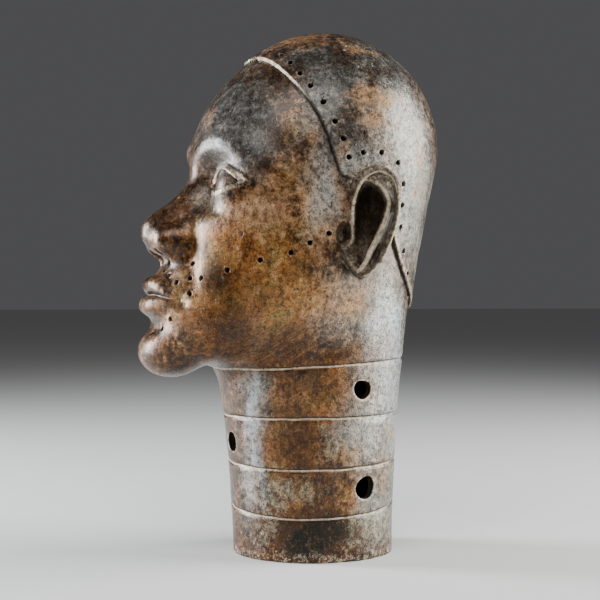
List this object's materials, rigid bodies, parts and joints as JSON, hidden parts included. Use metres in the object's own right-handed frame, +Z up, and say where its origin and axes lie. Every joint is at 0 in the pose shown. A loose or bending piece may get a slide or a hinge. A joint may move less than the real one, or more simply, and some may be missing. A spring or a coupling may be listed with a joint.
{
  "type": "hollow-cast bronze head",
  "caption": "Hollow-cast life-like head on a ringed neck, with a raised cap of hair and rows of small holes for hair and beard.",
  "frame": {"origin": "on the surface it stands on, below the middle of its box", "axes": "+Z up the neck, -Y out of the face, +X to the figure's left"},
  "size_m": [0.1592, 0.1752, 0.2997],
  "materials": {
    "bronze": "dark brown patina, rust-orange and grey-green mottling, semi-gloss"
  },
  "bodies": {
    "root": {"bronze_head": "bronze"}
  },
  "joints": []
}
